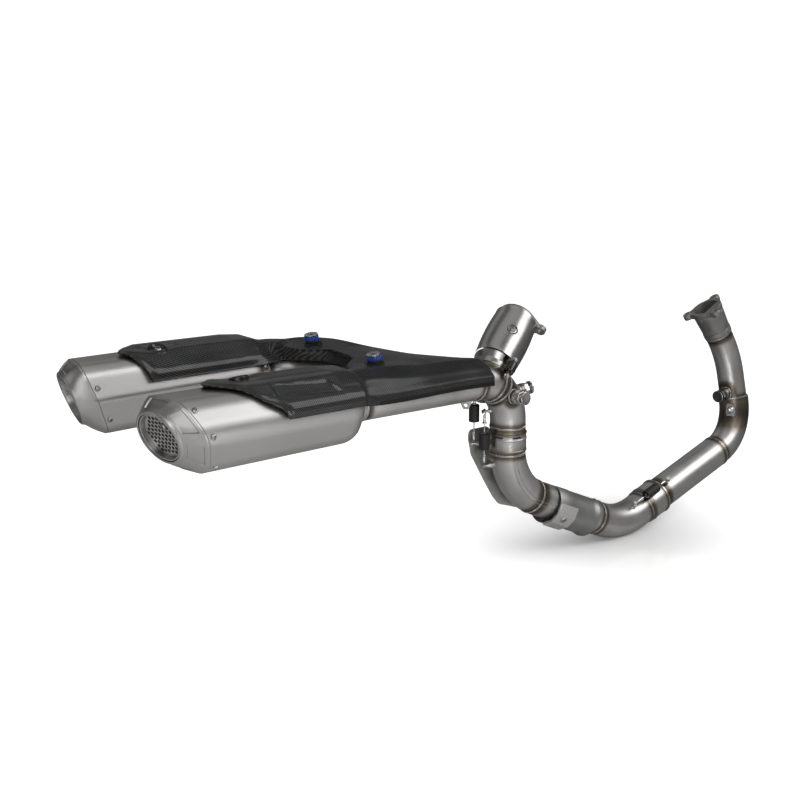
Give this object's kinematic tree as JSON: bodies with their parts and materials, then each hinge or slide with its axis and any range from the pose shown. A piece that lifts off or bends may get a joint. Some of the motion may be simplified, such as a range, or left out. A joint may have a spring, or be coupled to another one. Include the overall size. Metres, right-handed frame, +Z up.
{
  "type": "racing exhaust system",
  "caption": "Motorcycle race exhaust: front and rear headers, slip-jointed mid pipe, collector, forked link pipe and under-tail mufflers below a carbon cover",
  "frame": {"origin": "midway between the tops of the two hanger washers that carry the tail of the system", "axes": "+X forward along the motorcycle, +Y to the rider's left, +Z up"},
  "size_m": [1.2065, 0.3692, 0.3985],
  "materials": {
    "titanium": "satin",
    "steel": "bright",
    "screen": "satin",
    "carbon": "gloss",
    "cast": "matte",
    "polished": "polished",
    "guard": "matte",
    "rubber": "matte",
    "bush": "satin",
    "wool": "matte"
  },
  "bodies": {
    "tail": {"carbon_cover": "carbon", "link_pipe": "titanium", "collector": "titanium", "oxygen_plug_front_facing": "steel", "oxygen_plug_right_facing": "steel", "mid_spring_near": "steel", "mid_spring_near_rubber": "rubber", "mid_spring_far": "steel", "mid_spring_far_rubber": "rubber", "rear_spring": "steel", "right_muffler_sleeve": "titanium", "right_end_cap": "titanium", "right_outlet_tube": "screen", "right_outlet_screen": "screen", "right_core_tube": "steel", "right_packing": "wool", "right_hanger_washer": "steel", "right_hanger_bush": "bush", "right_hanger_bracket": "steel", "right_cover_bolt": "steel", "right_cover_spacer": "rubber", "left_muffler_sleeve": "titanium", "left_end_cap": "titanium", "left_outlet_tube": "screen", "left_outlet_screen": "screen", "left_core_tube": "steel", "left_packing": "wool", "left_hanger_washer": "steel", "left_hanger_bush": "bush", "left_hanger_bracket": "steel", "left_cover_bolt": "steel", "left_cover_spacer": "rubber"},
    "mid_section": {"mid_pipe": "titanium", "mid_guard_plate": "guard", "guard_screw_0": "steel", "guard_screw_1": "steel", "elbow_guard": "guard", "elbow_guard_screw": "steel", "front_spring": "steel", "front_spring_rubber": "rubber"},
    "front_header": {"front_header_tube": "titanium", "front_header_bend": "titanium", "front_header_upper": "titanium", "front_port_stub": "cast", "front_oxygen_plug": "steel", "header_lug": "steel"},
    "rear_header": {"rear_header_tube": "titanium", "rear_header_shield": "polished", "rear_shield_screw": "steel", "rear_port_flange": "cast"}
  },
  "joints": [
    {"name": "mid_slip", "type": "slide", "parent": "tail", "child": "mid_section", "axis": [0, 0, -1], "range_m": [0, 0.008], "stiffness_N_per_m": 6000, "springref_m": -0.015, "deforming": ["mid_spring_near", "mid_spring_far"]},
    {"name": "front_slip", "type": "slide", "parent": "mid_section", "child": "front_header", "axis": [0.9506, 0.1029, 0.293], "range_m": [0, 0.01], "stiffness_N_per_m": 4000, "springref_m": -0.015, "deforming": ["front_spring"]},
    {"name": "rear_slip", "type": "slide", "parent": "tail", "child": "rear_header", "axis": [0.7535, 0.3731, 0.5413], "range_m": [0, 0.01], "stiffness_N_per_m": 4000, "springref_m": -0.012, "deforming": ["rear_spring"]}
  ]
}
